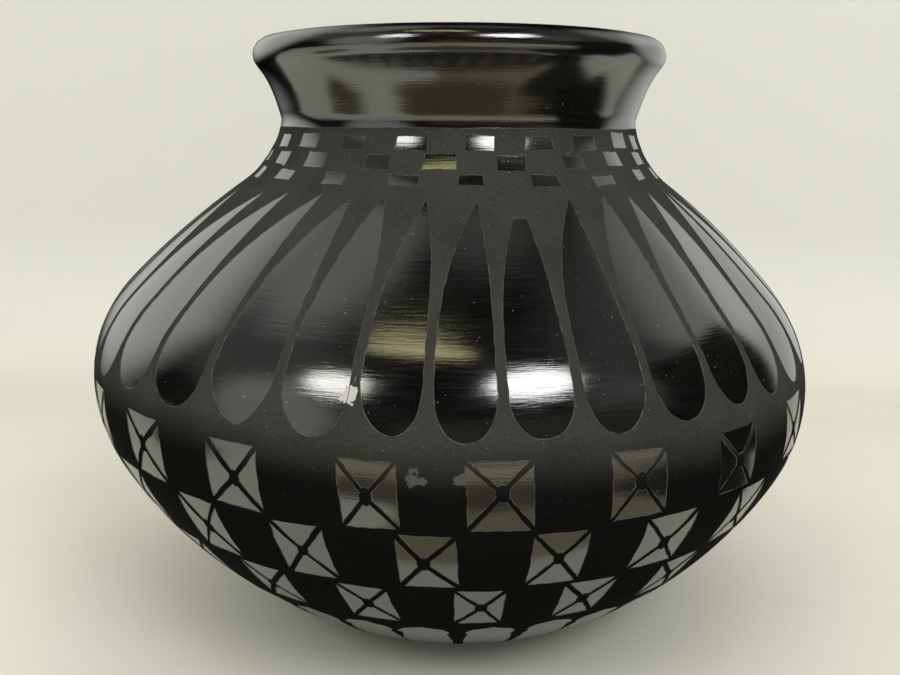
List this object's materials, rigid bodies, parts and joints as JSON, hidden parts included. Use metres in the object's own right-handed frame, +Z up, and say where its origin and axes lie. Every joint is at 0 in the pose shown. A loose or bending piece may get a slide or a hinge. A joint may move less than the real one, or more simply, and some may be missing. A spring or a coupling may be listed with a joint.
{
  "type": "burnished clay olla",
  "caption": "Round-bellied burnished black clay pot with a flared rim and painted matte bands of checks, petals and crossed squares.",
  "frame": {"origin": "centre of the flat foot, on the surface that the pot stands on", "axes": "+Z up along the pot's axis; the pattern repeats all round"},
  "size_m": [0.2306, 0.2306, 0.1856],
  "materials": {
    "burnished_clay": "black fired clay, stone burnished to a metallic gloss with fine level streaks",
    "matte_slip": "charcoal black slip, fine grained and matte, thinly brushed"
  },
  "bodies": {
    "root": {"moulded_bowl": "burnished_clay", "lower_wall": "burnished_clay", "shoulder_wall": "burnished_clay", "neck_collar": "burnished_clay", "flared_rim": "burnished_clay", "neck_check_slip": "matte_slip", "petal_slip": "matte_slip", "crossed_check_slip": "matte_slip", "foot_leaf_slip": "matte_slip"}
  },
  "joints": []
}
